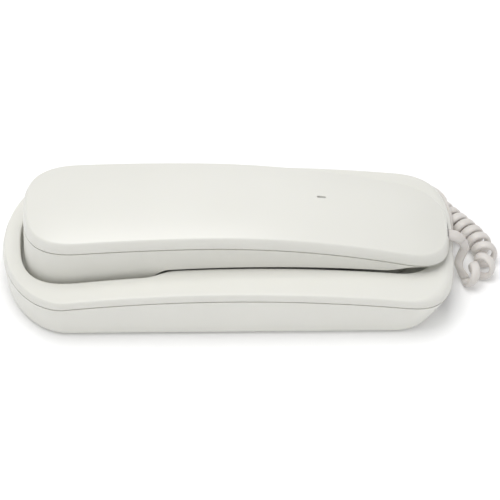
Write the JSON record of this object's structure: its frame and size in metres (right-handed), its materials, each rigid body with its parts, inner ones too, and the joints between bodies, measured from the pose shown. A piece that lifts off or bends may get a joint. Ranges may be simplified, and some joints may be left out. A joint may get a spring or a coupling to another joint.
{
  "type": "slimline wall telephone",
  "caption": "Slim one-piece telephone: long rounded base with an arched cradle, arched handset with keypad underneath, curly handset cord.",
  "frame": {"origin": "centre of the phone (without its cord) in plan, on the face its rubber feet stand on", "axes": "+X along the phone towards the mouthpiece and cord end, +Z out of the front, +Y completes the right-handed set"},
  "size_m": [0.2428, 0.098, 0.0553],
  "materials": {
    "shell": "satin gloss warm white ABS",
    "keys": "satin warm white ABS",
    "membrane": "matte silicone",
    "circuit_board": "solder masked laminate",
    "capsule_metal": "drawn can",
    "steel": "zinc plated",
    "rubber": "matte",
    "clear_plug": "clear polycarbonate",
    "cord": "soft semi matte vinyl",
    "lens": "smoked clear acrylic",
    "dark_plastic": "moulded nylon"
  },
  "bodies": {
    "base": {"base_bottom_shell": "shell", "base_top_cover": "shell", "hook_switch": "dark_plastic", "hook_bracket": "steel", "base_board": "circuit_board", "ringer_sounder": "dark_plastic", "line_jack": "dark_plastic", "base_cord_jack": "dark_plastic", "ballast_plate": "steel", "rubber_feet": "rubber", "base_screws": "steel", "base_plug": "clear_plug", "handset_lead": "cord", "curly_cord": "cord", "base_lead": "cord"},
    "handset": {"handset_front_shell": "shell", "handset_rear_shell": "shell", "indicator_lens": "lens", "receiver_capsule": "capsule_metal", "receiver_gasket": "rubber", "microphone_capsule": "capsule_metal", "microphone_boot": "rubber", "keypad_membrane": "membrane", "handset_board": "circuit_board", "handset_jack": "dark_plastic", "handset_screws": "steel", "handset_plug": "clear_plug"},
    "key_1": {"key_1": "keys"},
    "key_2": {"key_2": "keys"},
    "key_3": {"key_3": "keys"},
    "key_4": {"key_4": "keys"},
    "key_5": {"key_5": "keys"},
    "key_6": {"key_6": "keys"},
    "key_7": {"key_7": "keys"},
    "key_8": {"key_8": "keys"},
    "key_9": {"key_9": "keys"},
    "key_star": {"key_star": "keys"},
    "key_0": {"key_0": "keys"},
    "key_hash": {"key_hash": "keys"},
    "key_redial": {"key_redial": "keys"},
    "key_flash": {"key_flash": "keys"},
    "key_mute": {"key_mute": "keys"},
    "volume_slider": {"volume_slider": "dark_plastic"},
    "hook_tab": {"hook_tab": "shell"},
    "hook_plunger": {"hook_plunger": "shell"},
    "ringer_switch": {"ringer_switch": "dark_plastic"}
  },
  "joints": [
    {"name": "handset_lift", "type": "slide", "parent": "base", "child": "handset", "axis": [0, 0, 1], "range_m": [0, 0.07]},
    {"name": "key_1_press", "type": "slide", "parent": "handset", "child": "key_1", "axis": [0, 0, 1], "range_m": [0, 0.0012], "stiffness_N_per_m": 600},
    {"name": "key_2_press", "type": "slide", "parent": "handset", "child": "key_2", "axis": [0, 0, 1], "range_m": [0, 0.0012], "stiffness_N_per_m": 600},
    {"name": "key_3_press", "type": "slide", "parent": "handset", "child": "key_3", "axis": [0, 0, 1], "range_m": [0, 0.0012], "stiffness_N_per_m": 600},
    {"name": "key_4_press", "type": "slide", "parent": "handset", "child": "key_4", "axis": [0, 0, 1], "range_m": [0, 0.0012], "stiffness_N_per_m": 600},
    {"name": "key_5_press", "type": "slide", "parent": "handset", "child": "key_5", "axis": [0, 0, 1], "range_m": [0, 0.0012], "stiffness_N_per_m": 600},
    {"name": "key_6_press", "type": "slide", "parent": "handset", "child": "key_6", "axis": [0, 0, 1], "range_m": [0, 0.0012], "stiffness_N_per_m": 600},
    {"name": "key_7_press", "type": "slide", "parent": "handset", "child": "key_7", "axis": [0, 0, 1], "range_m": [0, 0.0012], "stiffness_N_per_m": 600},
    {"name": "key_8_press", "type": "slide", "parent": "handset", "child": "key_8", "axis": [0, 0, 1], "range_m": [0, 0.0012], "stiffness_N_per_m": 600},
    {"name": "key_9_press", "type": "slide", "parent": "handset", "child": "key_9", "axis": [0, 0, 1], "range_m": [0, 0.0012], "stiffness_N_per_m": 600},
    {"name": "key_star_press", "type": "slide", "parent": "handset", "child": "key_star", "axis": [0, 0, 1], "range_m": [0, 0.0012], "stiffness_N_per_m": 600},
    {"name": "key_0_press", "type": "slide", "parent": "handset", "child": "key_0", "axis": [0, 0, 1], "range_m": [0, 0.0012], "stiffness_N_per_m": 600},
    {"name": "key_hash_press", "type": "slide", "parent": "handset", "child": "key_hash", "axis": [0, 0, 1], "range_m": [0, 0.0012], "stiffness_N_per_m": 600},
    {"name": "key_redial_press", "type": "slide", "parent": "handset", "child": "key_redial", "axis": [0, 0, 1], "range_m": [0, 0.0012], "stiffness_N_per_m": 600},
    {"name": "key_flash_press", "type": "slide", "parent": "handset", "child": "key_flash", "axis": [0, 0, 1], "range_m": [0, 0.0012], "stiffness_N_per_m": 600},
    {"name": "key_mute_press", "type": "slide", "parent": "handset", "child": "key_mute", "axis": [0, 0, 1], "range_m": [0, 0.0012], "stiffness_N_per_m": 600},
    {"name": "volume_slide", "type": "slide", "parent": "handset", "child": "volume_slider", "axis": [1, 0, 0], "range_m": [-0.004, 0.004]},
    {"name": "hook_plunger_rise", "type": "slide", "parent": "base", "child": "hook_plunger", "axis": [0, 0, 1], "range_m": [0, 0.0035]},
    {"name": "hook_tab_slide", "type": "slide", "parent": "base", "child": "hook_tab", "axis": [0, 0, 1], "range_m": [0, 0.0045]},
    {"name": "ringer_switch_slide", "type": "slide", "parent": "base", "child": "ringer_switch", "axis": [1, 0, 0], "range_m": [-0.004, 0.004]}
  ],
  "couplings": [
    {"joint": "hook_plunger_rise", "follows": "handset_lift", "ratio": 0.05}
  ]
}
